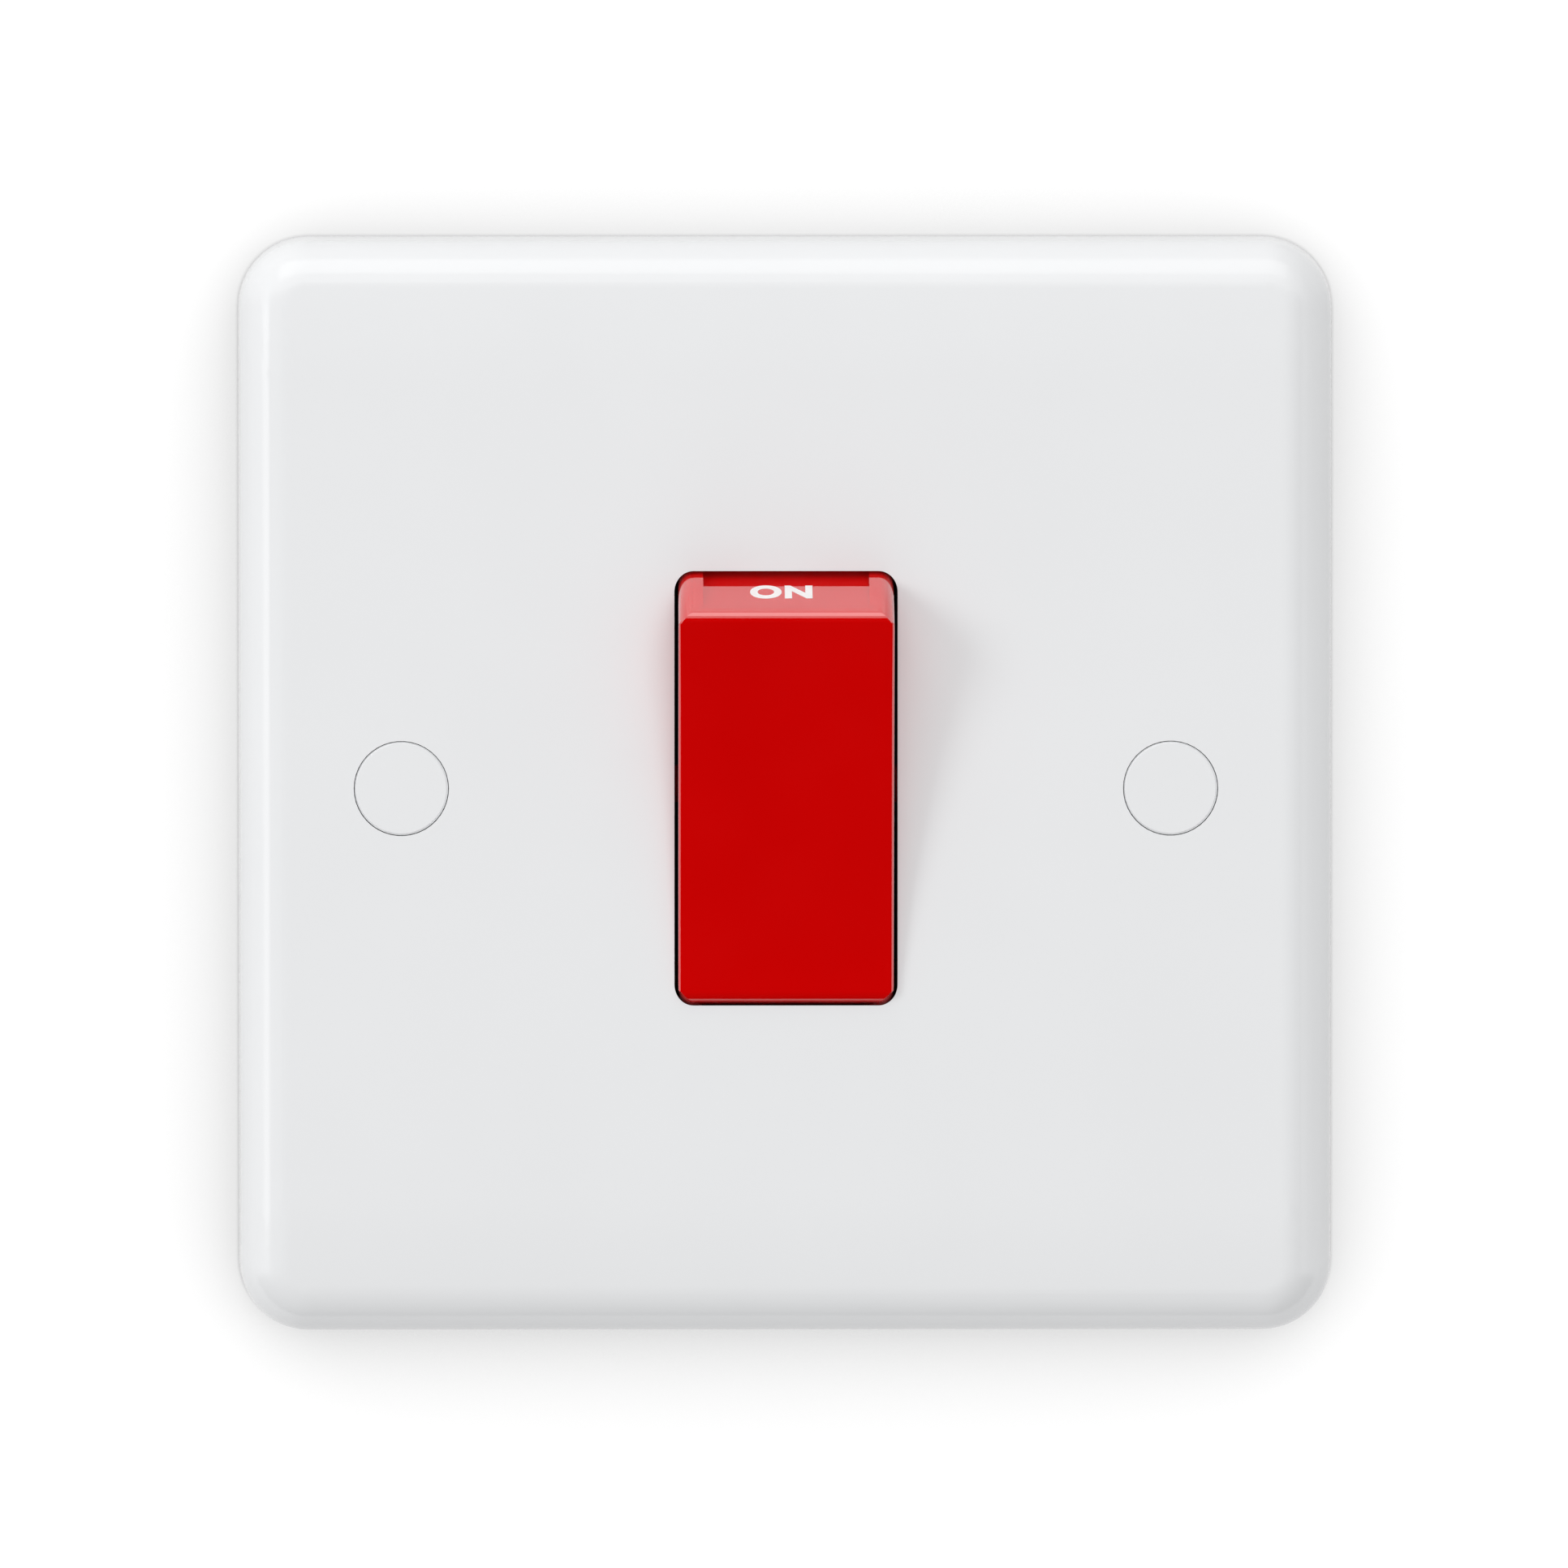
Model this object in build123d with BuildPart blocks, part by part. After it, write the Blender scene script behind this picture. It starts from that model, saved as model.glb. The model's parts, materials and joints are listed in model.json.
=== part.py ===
from build123d import *
from math import cos, radians, sin, sqrt
import os

# Double pole wall switch: a square white plate, a red rocker and a two pole contact set behind it.
# Millimetres. +X is right and +Z up as seen from the room, and -Y points into the room.
# The origin is the middle of the plate's back, on the face of the wall.

# Front plate
plate_size = 86.0
plate_corner = 5.5
plate_depth = 9.0
plate_edge = 4.0
plate_draft = 2.0
crown_length = 11.0
crown_drop = 0.8
plate_skin = 2.5
plate_rim = 2.2
inner_edge = 1.5
rib_thickness = 1.2
rib_setback = 2.5
merge = 0.6

# Fixing holes and their caps
fixing_spacing = 60.3
fixing_hole = 4.0
fixing_boss = 11.0
cap_diameter = 7.34
cap_clearance = 0.06
cap_face = 1.0
cap_height = 2.6
cap_wall = 0.9
cap_slot = 0.8
cap_break = 0.15
head_seat = 6.7
head_seat_depth = 5.2

# Rocker, swinging on two trunnions
pivot_depth = 7.3
rocker_tilt = 8.0
rocker_reach = 10.0
rocker_end = 18.25
rocker_width = 16.9
rocker_dish = 0.6
rocker_nose = 0.9
rocker_corner = 1.2
rocker_edge = 0.3
rocker_gap = 0.3
word_flat_width = 13.0
word_flat_start = 0.9
rocker_face_wall = 2.0
rocker_wall = 1.5
rocker_skirt = 1.5
rocker_rib = 1.2
rocker_rib_height = 3.0
trunnion = 3.0
trunnion_length = 2.5
trunnion_clearance = 0.05
ear_radius = 3.4
saddle_gap = 0.5
saddle_thickness = 2.4
saddle_half = 3.6
saddle_tail = 2.2

# Plungers and springs, one for each pole
pole_spacing = 8.8
plunger_diameter = 4.0
plunger_reach = 10.5
plunger_nose = 2.2
plunger_top = 1.5
plunger_pip = 1.8
plunger_pip_height = 1.2
plunger_clearance = 0.05
tube_wall = 0.75
tube_tail = 4.0
spring_diameter = 3.6
spring_wire = 0.5
spring_turns = 3
spring_seat = 0.05

# See-saw contact arms and their silver rivets
nose_clearance = 0.03
arm_width = 5.8
arm_thickness = 1.2
arm_tail = 8.5
arm_overhang = 2.8
arm_bead = 1.2
arm_corner = 1.4
cradle_clearance = 0.05
cradle_half = 2.4
cradle_setback = 0.4
contact_reach = 11.0
contact_clearance = 0.06
tip_radius = 2.0
tip_height = 1.2
tip_dome = 6.0
fixed_tip_height = 1.1
rivet_radius = 1.0
rivet_clearance = 0.02

# Terminals and their clamp screws
terminal_spacing = 23.0
terminal_width = 10.0
terminal_depth = 12.0
terminal_length = 12.0
terminal_inner = 14.5
terminal_edge = 0.6
terminal_wall = 1.6
conductor_bore = 6.0
tongue_width = 6.4
tongue_thickness = 2.0
tongue_overlap = 3.2
foot_length = 4.5
clamp_thread = 4.0
clamp_clearance = 0.05
clamp_pitch = 6.2
clamp_shank = 6.2
clamp_head = 5.6
clamp_head_height = 2.2
clamp_retreat = 0.1

# Rear housing and the screws that hold it
pocket_clearance = 0.2
housing_wall = 2.1
housing_floor = 2.3
housing_corner = 3.0
housing_edge = 1.0
inner_wall = 1.6
entry_margin = 0.5
window_margin = 0.5
lip_height = 1.5
lip_thickness = 1.0
lip_clearance = 0.1
rear_rib = 1.6
rear_rib_height = 0.9
lug_offset = 4.0
lug_radius = 3.6
lug_height = 28.0
lug_thickness = 3.0
post_radius = 3.0
self_tapper = 2.4
self_tapper_clearance = 0.05
self_tapper_depth = 5.4
self_tapper_head = 5.4
self_tapper_head_height = 2.0
pilot_margin = 0.5
hold_width = 3.0
hold_length = 6.0

# Places that follow from the sizes above
pole_x = pole_spacing / 2
terminal_x = terminal_spacing / 2
terminal_z = terminal_inner + terminal_length / 2
fixing_x = fixing_spacing / 2
pivot_y = pivot_depth - plate_depth
tilt_sin = sin(radians(rocker_tilt))
tilt_cos = cos(radians(rocker_tilt))
arm_y = pivot_y + plunger_reach + plunger_diameter / 2 + nose_clearance + arm_thickness
tip_y = arm_y + contact_reach * tilt_sin + tip_height * tilt_cos + tip_dome * (1 - tilt_cos)
tip_z = contact_reach * tilt_cos - tip_height * tilt_sin + tip_dome * tilt_sin
tongue_y = tip_y + contact_clearance + fixed_tip_height
floor_y = tongue_y + tongue_thickness
housing_y = floor_y + housing_floor
terminal_y = floor_y - terminal_depth
conductor_y = terminal_y + terminal_wall + conductor_bore / 2
clamp_y = conductor_y + conductor_bore / 2 + clamp_retreat + clamp_shank
tray_depth = plate_depth - plate_skin
pocket_x = terminal_x + terminal_width / 2 + pocket_clearance
pocket_z = terminal_inner + terminal_length + pocket_clearance
housing_width = 2 * (pocket_x + housing_wall)
housing_height = 2 * (pocket_z + housing_wall)
barrier_half = pole_x - tongue_width / 2 - pocket_clearance
chamber_x = pole_x + tongue_width / 2 + pocket_clearance
chamber_z = terminal_inner - pocket_clearance
lug_x = housing_width / 2 + lug_offset
lug_z = lug_height / 2
trunnion_end = rocker_width / 2 + trunnion_length
saddle_x = rocker_width / 2 + saddle_gap
tube_radius = plunger_diameter / 2 + plunger_clearance + tube_wall
spring_floor = rocker_reach - rocker_face_wall

# Planes: the wall faces the room, and the rocker and the arms have tilted side planes
wall = Plane.XZ
sides = {"left": -1, "right": 1}
rocker_side = Plane((0, pivot_y, 0), x_dir=(0, tilt_cos, tilt_sin), z_dir=(1, 0, 0))
rocker_back = Plane((0, pivot_y, 0), x_dir=(1, 0, 0), z_dir=(0, tilt_cos, tilt_sin))
arm_side = Plane((0, arm_y, 0), x_dir=(0, tilt_cos, -tilt_sin), z_dir=(1, 0, 0))


def at_depth(y):
    """The plane that faces the room at this distance behind the wall's face."""
    return wall.offset(-y)


def swept_barrel(clearance):
    """The barrel that the rocker's round ends sweep, larger all round by this clearance."""
    with BuildPart() as barrel:
        with BuildSketch(Plane.YZ):
            with Locations((pivot_y, 0)):
                Circle(rocker_end + clearance)
        extrude(amount=rocker_width / 2 + clearance, both=True)
        fillet(barrel.edges().filter_by(GeomType.CIRCLE), rocker_corner + clearance)
    return barrel.part


os.makedirs("parts", exist_ok=True)

# Front plate: a drafted tray with a soft front edge, and the works' supports inside
with BuildPart() as front_plate:
    with BuildSketch(wall):
        RectangleRounded(plate_size, plate_size, plate_corner)
    extrude(amount=plate_depth, taper=plate_draft)
    with BuildSketch(Plane.YZ):
        crown_start = plate_size / 2 - crown_length
        crown_end = (crown_drop - plate_depth, plate_size / 2)
        with BuildLine():
            flat = Line((-plate_depth, 0), (-plate_depth, crown_start))
            crown = TangentArc(flat @ 1, crown_end, tangent=flat % 1)
            Polyline(
                crown @ 1,
                (crown_end[0], plate_size),
                (plate_skin, plate_size),
                (plate_skin, 0),
                flat @ 0,
            )
        make_face()
        mirror(about=Plane.XZ)
    extrude(amount=plate_size, both=True, mode=Mode.INTERSECT)
    front_edges = front_plate.edges().filter_by_position(Axis.Y, -plate_depth, crown_end[0])
    seams = front_edges.filter_by(Axis.X).sort_by(Axis.Z)[1:-1]
    fillet(front_edges - seams, plate_edge)

    tray_size = plate_size - 2 * plate_rim
    with BuildSketch(wall):
        RectangleRounded(tray_size, tray_size, plate_corner - plate_rim)
    extrude(amount=tray_depth, taper=plate_draft, mode=Mode.SUBTRACT)
    tray_floor = front_plate.faces().filter_by(Axis.Y).sort_by(Axis.Y)[1]
    chamfer(tray_floor.outer_wire().edges(), inner_edge)

    # Collar that meets the housing's rim
    with BuildSketch(wall):
        RectangleRounded(housing_width, housing_height, housing_corner)
        collar_x = housing_width - 2 * housing_wall
        collar_z = housing_height - 2 * housing_wall
        RectangleRounded(collar_x, collar_z, housing_corner - housing_wall, mode=Mode.SUBTRACT)
    extrude(amount=tray_depth + merge)

    # Fixing bosses, posts for the housing's screws and feet that hold the terminals down
    with BuildSketch(wall):
        with GridLocations(fixing_spacing, 0, 2, 1):
            Circle(fixing_boss / 2)
        with GridLocations(2 * lug_x, 2 * lug_z, 2, 2):
            Circle(post_radius)
    extrude(amount=tray_depth + merge)
    with BuildSketch(at_depth(terminal_y - pocket_clearance)):
        with GridLocations(2 * terminal_x, 2 * terminal_z, 2, 2):
            Rectangle(hold_width, hold_length)
    extrude(amount=tray_depth + terminal_y - pocket_clearance + merge)

    # Stiffening ribs, set back from the wall
    rib_z = (tray_size + housing_height) / 4
    rib_x = (tray_size + housing_width) / 4
    with BuildSketch(wall.offset(rib_setback)):
        with GridLocations(2 * terminal_x, 2 * rib_z, 2, 2):
            Rectangle(rib_thickness, (tray_size - housing_height) / 2 + merge)
        with GridLocations(2 * rib_x, 2 * lug_z, 2, 2):
            Rectangle((tray_size - housing_width) / 2 + merge, rib_thickness)
        with GridLocations(2 * rib_x, 0, 2, 1):
            Rectangle((tray_size - housing_width) / 2 + merge, rib_thickness)
    extrude(amount=tray_depth - rib_setback + merge)

    # Saddles for the trunnions, open to the rear
    for plane in (Plane.YZ.offset(saddle_x), Plane.YZ.offset(-saddle_x - saddle_thickness)):
        with BuildSketch(plane):
            saddle_length = tray_depth + merge + pivot_y + saddle_tail
            with Locations((pivot_y + saddle_tail - saddle_length / 2, 0)):
                Rectangle(saddle_length, 2 * saddle_half)
            with Locations((pivot_y, 0)):
                Circle(trunnion / 2 + trunnion_clearance, mode=Mode.SUBTRACT)
            with Locations((pivot_y + saddle_tail / 2, 0)):
                Rectangle(saddle_tail, trunnion + 2 * trunnion_clearance, mode=Mode.SUBTRACT)
        extrude(amount=saddle_thickness)

    # Holes: aperture, cap seats, fixing holes and screw pilots
    add(swept_barrel(rocker_gap), mode=Mode.SUBTRACT)
    with Locations(wall.offset(plate_depth)):
        with GridLocations(fixing_spacing, 0, 2, 1):
            CounterBoreHole(
                radius=head_seat / 2,
                counter_bore_radius=cap_diameter / 2 + cap_clearance,
                counter_bore_depth=cap_height,
                depth=head_seat_depth,
            )
            Hole(radius=fixing_hole / 2)
    with BuildSketch(wall):
        with GridLocations(2 * lug_x, 2 * lug_z, 2, 2):
            Circle(self_tapper / 2 + self_tapper_clearance)
    extrude(amount=self_tapper_depth + pilot_margin, mode=Mode.SUBTRACT)
front_plate.part.label = "front_plate"
export_step(front_plate.part, "parts/front_plate.step")

# Caps: a thin disc on a split skirt that rests on the cap seat's ledge
for side, sign in sides.items():
    with BuildPart() as screw_cap:
        with BuildSketch(wall.offset(plate_depth)):
            with Locations((sign * fixing_x, 0)):
                Circle(cap_diameter / 2)
        extrude(amount=-cap_height)
        with BuildSketch(wall.offset(plate_depth - cap_height)):
            with Locations((sign * fixing_x, 0)):
                Circle(cap_diameter / 2 - cap_wall)
                Rectangle(cap_diameter, cap_slot)
                Rectangle(cap_slot, cap_diameter)
        extrude(amount=cap_height - cap_face, mode=Mode.SUBTRACT)
        chamfer(screw_cap.faces().sort_by(Axis.Y)[0].edges(), cap_break)
    screw_cap.part.label = f"{side}_screw_cap"
    export_step(screw_cap.part, f"parts/{side}_screw_cap.step")

# Rocker: a hollow cap with a dished face, whose ends are arcs about its trunnions
with BuildPart() as rocker:
    with BuildSketch(rocker_side) as profile:
        face_z = sqrt(rocker_end**2 - rocker_reach**2)
        skirt_z = sqrt(rocker_end**2 - rocker_skirt**2)
        with BuildLine():
            dish = ThreePointArc(
                (-rocker_reach, -face_z),
                (rocker_dish - rocker_reach, 0),
                (-rocker_reach, face_z),
            )
            top_end = RadiusArc(dish @ 1, (-rocker_skirt, skirt_z), rocker_end)
            skirt = Line(top_end @ 1, (-rocker_skirt, -skirt_z))
            RadiusArc(skirt @ 1, dish @ 0, rocker_end)
        make_face()
        fillet(profile.vertices().sort_by(Axis.X)[:2], rocker_nose)
    extrude(amount=rocker_width / 2, both=True)
    skirt_face = rocker.faces().filter_by(rocker_back).sort_by(Axis.Y)[-1]
    fillet(rocker.faces().filter_by(Axis.X).edges() - skirt_face.edges(), rocker_edge)
    add(swept_barrel(0), mode=Mode.INTERSECT)

    # Flats for the words, which run out into the round ends
    with BuildSketch(rocker_side):
        flat_x = word_flat_start - rocker_reach
        with BuildLine():
            Polyline(
                (flat_x, sqrt(rocker_end**2 - flat_x**2)),
                (-rocker_skirt, rocker_end),
                (flat_x, rocker_end),
                close=True,
            )
        make_face()
        mirror(about=Plane.XZ)
    extrude(amount=word_flat_width / 2, both=True, mode=Mode.SUBTRACT)

    # The hollow behind the face
    with BuildSketch(rocker_side):
        Circle(rocker_end - rocker_wall)
        with Locations((-spring_floor / 2, 0)):
            Rectangle(spring_floor, 2 * rocker_end, mode=Mode.INTERSECT)
    extrude(amount=rocker_width / 2 - rocker_wall, both=True, mode=Mode.SUBTRACT)

    # Ears and trunnions
    for plane in (
        rocker_side.offset(rocker_width / 2 - rocker_wall),
        rocker_side.offset(-rocker_width / 2),
    ):
        with BuildSketch(plane):
            Circle(ear_radius)
            with Locations((-rocker_skirt, 0)):
                Rectangle(2 * rocker_skirt, 2 * ear_radius)
        extrude(amount=rocker_wall)
    for plane in (
        rocker_side.offset(rocker_width / 2 - rocker_wall),
        rocker_side.offset(-trunnion_end),
    ):
        with BuildSketch(plane):
            Circle(trunnion / 2)
        extrude(amount=rocker_wall + trunnion_length)

    # Tubes for the plungers, with a spine between the ends
    with BuildSketch(rocker_back.offset(-spring_floor - merge)):
        with GridLocations(pole_spacing, 0, 2, 1):
            Circle(tube_radius)
    extrude(amount=spring_floor + merge + tube_tail)
    with BuildSketch(rocker_side):
        Circle(rocker_end - rocker_wall + merge)
        with Locations((-spring_floor + (rocker_rib_height - merge) / 2, 0)):
            Rectangle(rocker_rib_height + merge, 2 * rocker_end, mode=Mode.INTERSECT)
    extrude(amount=rocker_rib / 2, both=True)
    with BuildSketch(rocker_back.offset(-spring_floor)):
        with GridLocations(pole_spacing, 0, 2, 1):
            Circle(plunger_diameter / 2 + plunger_clearance)
    extrude(amount=spring_floor + tube_tail, mode=Mode.SUBTRACT)
rocker.part.label = "rocker"
export_step(rocker.part, "parts/rocker.step")

# Plungers: pins with a nose that is round across the pole, and a pip that centres the spring
for side, sign in sides.items():
    nose_centre = plunger_reach + plunger_diameter / 2 - plunger_nose
    with BuildPart() as plunger:
        with BuildSketch(rocker_back.offset(-plunger_top)):
            with Locations((sign * pole_x, 0)):
                Circle(plunger_diameter / 2)
        extrude(amount=plunger_top + nose_centre + plunger_nose)
        with BuildSketch(rocker_side.offset(sign * pole_x)):
            with Locations(((nose_centre - plunger_top) / 2, 0)):
                Rectangle(nose_centre + plunger_top, 2 * plunger_nose)
            with Locations((nose_centre, 0)):
                Circle(plunger_nose)
        extrude(amount=plunger_diameter, both=True, mode=Mode.INTERSECT)
        with BuildSketch(rocker_back.offset(-plunger_top)):
            with Locations((sign * pole_x, 0)):
                Circle(plunger_pip / 2)
        extrude(amount=-plunger_pip_height)
    plunger.part.label = f"{side}_plunger"
    export_step(plunger.part, f"parts/{side}_plunger.step")

# Springs: a plain coil between the tube's floor and the plunger
for side, sign in sides.items():
    spring_length = spring_floor - plunger_top - spring_wire - 2 * spring_seat
    spring_start = rocker_back.offset(-spring_floor + spring_wire / 2 + spring_seat)
    with BuildPart() as spring:
        with BuildLine() as coil:
            Helix(
                pitch=spring_length / spring_turns,
                height=spring_length,
                radius=(spring_diameter - spring_wire) / 2,
                center=spring_start.from_local_coords((sign * pole_x, 0, 0)),
                direction=rocker_back.z_dir,
            )
        with BuildSketch(Plane(coil.line @ 0, z_dir=coil.line % 0)):
            Rectangle(spring_wire, spring_wire)
        sweep(path=coil.line, is_frenet=True)
    spring.part.label = f"{side}_spring"
    export_step(spring.part, f"parts/{side}_spring.step")

# Contact arms: copper see-saws on a round bead, with a hole for the rivet
for side, sign in sides.items():
    arm_plane = arm_side.offset(sign * pole_x)
    arm_length = arm_tail + contact_reach + arm_overhang
    with BuildPart() as contact_arm:
        with BuildSketch(arm_plane):
            with Locations((-arm_thickness / 2, arm_length / 2 - arm_tail)):
                Rectangle(arm_thickness, arm_length)
            Circle(arm_bead)
            with Locations((-arm_thickness - arm_bead / 2, 0)):
                Rectangle(arm_bead, 2 * arm_bead, mode=Mode.SUBTRACT)
        extrude(amount=arm_width / 2, both=True)
        fillet(contact_arm.edges().filter_by(Axis((0, 0, 0), arm_plane.x_dir)), arm_corner)
        rivet_plane = Plane(arm_plane.origin, x_dir=(1, 0, 0), z_dir=arm_plane.x_dir)
        with BuildSketch(rivet_plane):
            with Locations((0, -contact_reach)):
                Circle(rivet_radius + rivet_clearance)
        extrude(amount=-arm_thickness, mode=Mode.SUBTRACT)
    contact_arm.part.label = f"{side}_contact_arm"
    export_step(contact_arm.part, f"parts/{side}_contact_arm.step")

# Moving tips: silver rivets through the arms, with a barrel face
for side, sign in sides.items():
    tip_centre = arm_side.offset(sign * pole_x).from_local_coords((0, contact_reach, 0))
    tip_base = Plane(tip_centre, x_dir=(1, 0, 0), z_dir=arm_side.x_dir)
    with BuildPart() as moving_tip:
        with BuildSketch(tip_base):
            Circle(tip_radius)
        extrude(amount=tip_height)
        with BuildSketch(Plane(tip_centre, x_dir=arm_side.x_dir, z_dir=arm_side.z_dir)):
            with Locations((tip_height - tip_dome, 0)):
                Circle(tip_dome)
        extrude(amount=tip_dome, both=True, mode=Mode.INTERSECT)
        with BuildSketch(tip_base):
            Circle(rivet_radius)
        extrude(amount=-arm_thickness)
    moving_tip.part.label = f"{side}_moving_tip"
    export_step(moving_tip.part, f"parts/{side}_moving_tip.step")

# Fixed tips: flat silver rivets on the load tongues
for side, sign in sides.items():
    with BuildPart() as fixed_tip:
        with BuildSketch(at_depth(tongue_y)):
            with Locations((sign * pole_x, tip_z)):
                Circle(tip_radius)
        extrude(amount=fixed_tip_height)
        with BuildSketch(at_depth(tongue_y)):
            with Locations((sign * pole_x, tip_z)):
                Circle(rivet_radius)
        extrude(amount=-tongue_thickness)
    fixed_tip.part.label = f"{side}_fixed_tip"
    export_step(fixed_tip.part, f"parts/{side}_fixed_tip.step")

# Terminals: brass blocks with a conductor bore, two clamp threads and a tongue into the pole chamber
for kind, end in {"load": 1, "supply": -1}.items():
    for side, sign in sides.items():
        tongue_tip = tip_z - tongue_overlap if kind == "load" else cradle_half
        tongue_root = end * (terminal_inner + foot_length)
        foot_start = pole_x - tongue_width / 2
        foot_end = terminal_x + terminal_width / 2
        with BuildPart() as terminal:
            with BuildSketch(at_depth(floor_y)):
                with Locations((sign * terminal_x, end * terminal_z)):
                    Rectangle(terminal_width, terminal_length)
            extrude(amount=terminal_depth)
            chamfer(terminal.edges().filter_by(Axis.Z), terminal_edge)
            with BuildSketch(at_depth(floor_y)):
                with Locations((sign * pole_x, (tongue_tip + tongue_root) / 2)):
                    Rectangle(tongue_width, abs(tongue_root - tongue_tip))
                with Locations((sign * (foot_start + foot_end) / 2, tongue_root - end * foot_length / 2)):
                    Rectangle(foot_end - foot_start, foot_length)
            extrude(amount=tongue_thickness)
            if kind == "load":
                with BuildSketch(at_depth(tongue_y)):
                    with Locations((sign * pole_x, tip_z)):
                        Circle(rivet_radius + rivet_clearance)
                extrude(amount=-tongue_thickness, mode=Mode.SUBTRACT)
            else:
                with BuildSketch(Plane.YZ.offset(sign * pole_x)):
                    pedestal = tongue_y - arm_y - cradle_setback
                    with Locations((tongue_y - pedestal / 2, 0)):
                        Rectangle(pedestal, 2 * cradle_half)
                    with Locations((arm_y, 0)):
                        Circle(arm_bead + cradle_clearance, mode=Mode.SUBTRACT)
                extrude(amount=tongue_width / 2, both=True)
            with BuildSketch(Plane.XY.offset(end * terminal_inner)):
                with Locations((sign * terminal_x, conductor_y)):
                    Circle(conductor_bore / 2)
            extrude(amount=end * terminal_length, mode=Mode.SUBTRACT)
            with BuildSketch(at_depth(floor_y)):
                with Locations((sign * terminal_x, end * terminal_z)):
                    with GridLocations(0, clamp_pitch, 1, 2):
                        Circle(clamp_thread / 2 + clamp_clearance)
            extrude(amount=floor_y - conductor_y, mode=Mode.SUBTRACT)
        terminal.part.label = f"{side}_{kind}_terminal"
        export_step(terminal.part, f"parts/{side}_{kind}_terminal.step")

# Clamp screws, backed out so that each conductor bore is clear
for kind, end in {"load": 1, "supply": -1}.items():
    for side, sign in sides.items():
        with BuildPart() as clamp_screws:
            with BuildSketch(at_depth(clamp_y)):
                with Locations((sign * terminal_x, end * terminal_z)):
                    with GridLocations(0, clamp_pitch, 1, 2):
                        Circle(clamp_thread / 2)
            extrude(amount=clamp_shank)
            with BuildSketch(at_depth(clamp_y)):
                with Locations((sign * terminal_x, end * terminal_z)):
                    with GridLocations(0, clamp_pitch, 1, 2):
                        Circle(clamp_head / 2)
            extrude(amount=-clamp_head_height)
        clamp_screws.part.label = f"{side}_{kind}_screws"
        export_step(clamp_screws.part, f"parts/{side}_{kind}_screws.step")

# Rear housing: a box, open to the plate, with two pole chambers and four terminal pockets
with BuildPart() as rear_housing:
    with BuildSketch(wall):
        RectangleRounded(housing_width, housing_height, housing_corner)
    extrude(amount=-housing_y)
    chamfer(rear_housing.faces().sort_by(Axis.Y)[-1].edges(), housing_edge)
    with BuildSketch(wall):
        with GridLocations(2 * lug_x, 2 * lug_z, 2, 2):
            Circle(lug_radius)
        for x in (-lug_x / 2, lug_x / 2):
            with GridLocations(0, 2 * lug_z, 1, 2):
                with Locations((x, 0)):
                    Rectangle(lug_x, 2 * lug_radius)
    extrude(amount=-lug_thickness)

    # Locating lip inside the plate's collar
    with BuildSketch(wall.offset(lip_height)):
        lip_x = 2 * (pocket_x - lip_clearance)
        lip_z = 2 * (pocket_z - lip_clearance)
        RectangleRounded(lip_x, lip_z, housing_corner - housing_wall)
        Rectangle(lip_x - 2 * lip_thickness, lip_z - 2 * lip_thickness, mode=Mode.SUBTRACT)
    extrude(amount=-lip_height - terminal_y)

    # The open front, then pockets, chambers and side cores down to the floor
    with BuildSketch(wall):
        open_x = 2 * (pocket_x - lip_clearance - lip_thickness)
        open_z = 2 * (pocket_z - lip_clearance - lip_thickness)
        Rectangle(open_x, open_z)
    extrude(amount=-terminal_y, mode=Mode.SUBTRACT)
    with BuildSketch(at_depth(floor_y)):
        pocket_width = pocket_x - barrier_half
        pocket_length = pocket_z - chamber_z
        chamber_width = chamber_x - barrier_half
        core_x = chamber_x + inner_wall
        core_z = chamber_z - inner_wall
        with GridLocations(pocket_x + barrier_half, pocket_z + chamber_z, 2, 2):
            Rectangle(pocket_width, pocket_length)
        with GridLocations(chamber_x + barrier_half, 0, 2, 1):
            Rectangle(chamber_width, 2 * chamber_z)
        with GridLocations(pocket_x + core_x, 0, 2, 1):
            Rectangle(pocket_x - core_x, 2 * core_z)
    extrude(amount=floor_y - terminal_y, mode=Mode.SUBTRACT)

    # Cable entries, windows for the clamp screws and holes in the lugs
    for end in (1, -1):
        with BuildSketch(Plane.XY.offset(end * pocket_z)):
            with GridLocations(terminal_spacing, 0, 2, 1):
                with Locations((0, conductor_y)):
                    Circle(conductor_bore / 2 + entry_margin)
        extrude(amount=end * housing_wall, mode=Mode.SUBTRACT)
    with BuildSketch(at_depth(housing_y)):
        with GridLocations(terminal_spacing, 2 * terminal_z, 2, 2):
            SlotCenterToCenter(clamp_pitch, clamp_head + 2 * window_margin, rotation=90)
    extrude(amount=housing_floor, mode=Mode.SUBTRACT)
    with BuildSketch(wall):
        with GridLocations(2 * lug_x, 2 * lug_z, 2, 2):
            Circle(self_tapper / 2 + self_tapper_clearance)
    extrude(amount=-lug_thickness, mode=Mode.SUBTRACT)

    # Insulating rib between the poles on the outside
    with BuildSketch(at_depth(housing_y - merge)):
        Rectangle(rear_rib, 2 * terminal_z)
    extrude(amount=-rear_rib_height - merge)
rear_housing.part.label = "rear_housing"
export_step(rear_housing.part, "parts/rear_housing.step")

# Four self-tapping screws, from the lugs into the plate's posts
with BuildPart() as housing_screws:
    with BuildSketch(at_depth(lug_thickness)):
        with GridLocations(2 * lug_x, 2 * lug_z, 2, 2):
            Circle(self_tapper_head / 2)
    extrude(amount=-self_tapper_head_height)
    with BuildSketch(at_depth(lug_thickness)):
        with GridLocations(2 * lug_x, 2 * lug_z, 2, 2):
            Circle(self_tapper / 2)
    extrude(amount=lug_thickness + self_tapper_depth)
housing_screws.part.label = "housing_screws"
export_step(housing_screws.part, "parts/housing_screws.step")
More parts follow.
